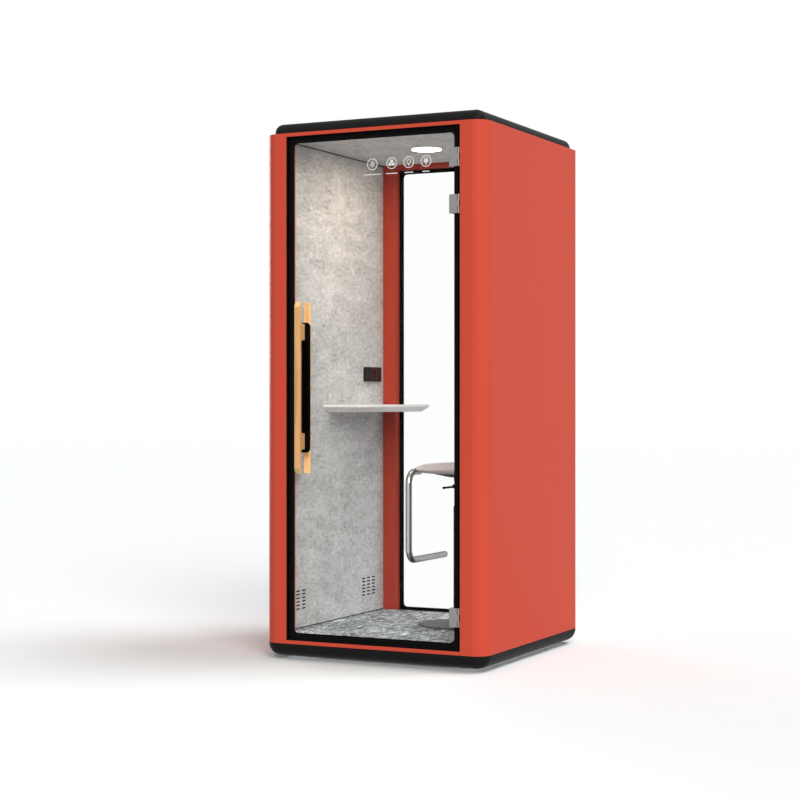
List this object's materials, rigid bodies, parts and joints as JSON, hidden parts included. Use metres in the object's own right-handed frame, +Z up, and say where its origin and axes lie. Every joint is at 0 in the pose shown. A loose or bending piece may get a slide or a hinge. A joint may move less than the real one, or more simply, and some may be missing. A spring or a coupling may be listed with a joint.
{
  "type": "acoustic office pod",
  "caption": "Free-standing glazed acoustic booth for a single seated person, with a hinged glass door, wall desk, ceiling light, roof fan and a height-adjustable swivel stool.",
  "frame": {"origin": "on the floor under the middle of the whole pod, outer door handle included", "axes": "+Z up, +X to the right along the front seen from outside, +Y from the door into the cabin"},
  "size_m": [1, 1.079, 2.2203],
  "materials": {
    "orange_paint": "satin powder coat",
    "orange_lacquer": "orange lacquered board",
    "black_moulding": "fine textured black",
    "black_profile": "black anodised",
    "grey_felt": "mottled needle felt",
    "carpet": "mottled loop pile",
    "insulation": "mineral fibre board",
    "plywood": "raw board",
    "base_profile": "mill finish",
    "frame_steel": "zinc plated",
    "hinge_steel": "satin",
    "bright_tube": "polished",
    "clear_glass": "clear toughened",
    "black_print": "black enamel on glass",
    "rubber": "matte black",
    "handle_wood": "oiled pale wood",
    "desk_white": "white laminate",
    "white_trim": "satin white",
    "diffuser": "opal",
    "switch_black": "satin black",
    "socket_brown": "satin dark brown",
    "seat_fabric": "taupe woven fabric",
    "stool_plate": "dark grey satin"
  },
  "bodies": {
    "pod": {"base_plinth": "black_moulding", "base_frame": "base_profile", "levelling_foot_front_left": "rubber", "levelling_foot_front_right": "rubber", "levelling_foot_back_left": "rubber", "levelling_foot_back_right": "rubber", "floor_cassette": "plywood", "floor_carpet": "carpet", "left_shell": "orange_paint", "right_shell": "orange_paint", "left_core": "insulation", "right_core": "insulation", "left_felt": "grey_felt", "right_felt": "grey_felt", "front_header": "orange_lacquer", "front_sill": "orange_lacquer", "back_header": "orange_lacquer", "back_sill": "orange_lacquer", "front_inner_frame": "orange_lacquer", "door_jamb": "black_profile", "door_seal": "rubber", "hinge_leaf_lower": "hinge_steel", "hinge_leaf_middle": "hinge_steel", "hinge_leaf_upper": "hinge_steel", "back_inner_frame": "orange_lacquer", "back_glass": "clear_glass", "back_bead": "black_profile", "ceiling_panel": "grey_felt", "light_housing": "white_trim", "light_diffuser": "diffuser", "roof_deck": "plywood", "light_driver": "white_trim", "fan_housing": "black_moulding", "roof_cap": "black_moulding", "power_inlet": "black_moulding", "desk_top": "desk_white", "desk_support_front": "frame_steel", "desk_support_rear": "frame_steel", "power_plate": "switch_black", "power_block": "socket_brown", "stool_base": "stool_plate"},
    "door": {"door_glass": "clear_glass", "door_border": "black_print", "outer_handle": "handle_wood", "inner_handle": "handle_wood", "hinge_clamp_lower": "hinge_steel", "hinge_clamp_middle": "hinge_steel", "hinge_clamp_upper": "hinge_steel", "hinge_plate_lower": "hinge_steel", "hinge_plate_middle": "hinge_steel", "hinge_plate_upper": "hinge_steel"},
    "fan": {"fan_rotor": "black_moulding"},
    "light_rocker": {"light_switch": "switch_black"},
    "fan_rocker": {"fan_switch": "switch_black"},
    "stool_post": {"stool_piston": "bright_tube"},
    "stool_seat": {"stool_mechanism": "black_moulding", "stool_footrest": "bright_tube", "stool_cushion": "seat_fabric"},
    "height_lever": {"stool_lever": "black_moulding"}
  },
  "joints": [
    {"name": "door_hinge", "type": "hinge", "parent": "pod", "child": "door", "pos_m": [0.381, -0.4985, 1.12], "axis": [0, 0, 1], "range_deg": [0, 100]},
    {"name": "fan_spin", "type": "hinge", "parent": "pod", "child": "fan", "pos_m": [0, 0.1945, 2.19], "axis": [0, 0, 1], "continuous": true},
    {"name": "light_switch_rock", "type": "hinge", "parent": "pod", "child": "light_rocker", "pos_m": [-0.4235, 0.2623, 1.18925], "axis": [0, 1, 0], "range_deg": [0, 10]},
    {"name": "fan_switch_rock", "type": "hinge", "parent": "pod", "child": "fan_rocker", "pos_m": [-0.4235, 0.2847, 1.18925], "axis": [0, 1, 0], "range_deg": [0, 10]},
    {"name": "stool_lift", "type": "slide", "parent": "pod", "child": "stool_post", "axis": [0, 0, 1], "range_m": [-0.06, 0.06]},
    {"name": "stool_swivel", "type": "hinge", "parent": "stool_post", "child": "stool_seat", "pos_m": [0.1275, 0.0725, 0.74], "axis": [0, 0, 1], "continuous": true},
    {"name": "height_lever_lift", "type": "hinge", "parent": "stool_seat", "child": "height_lever", "pos_m": [0.1275, 0.0325, 0.7035], "axis": [-1, 0, 0], "range_deg": [0, 8], "stiffness_Nm_per_rad": 3, "springref_deg": -5.73}
  ]
}
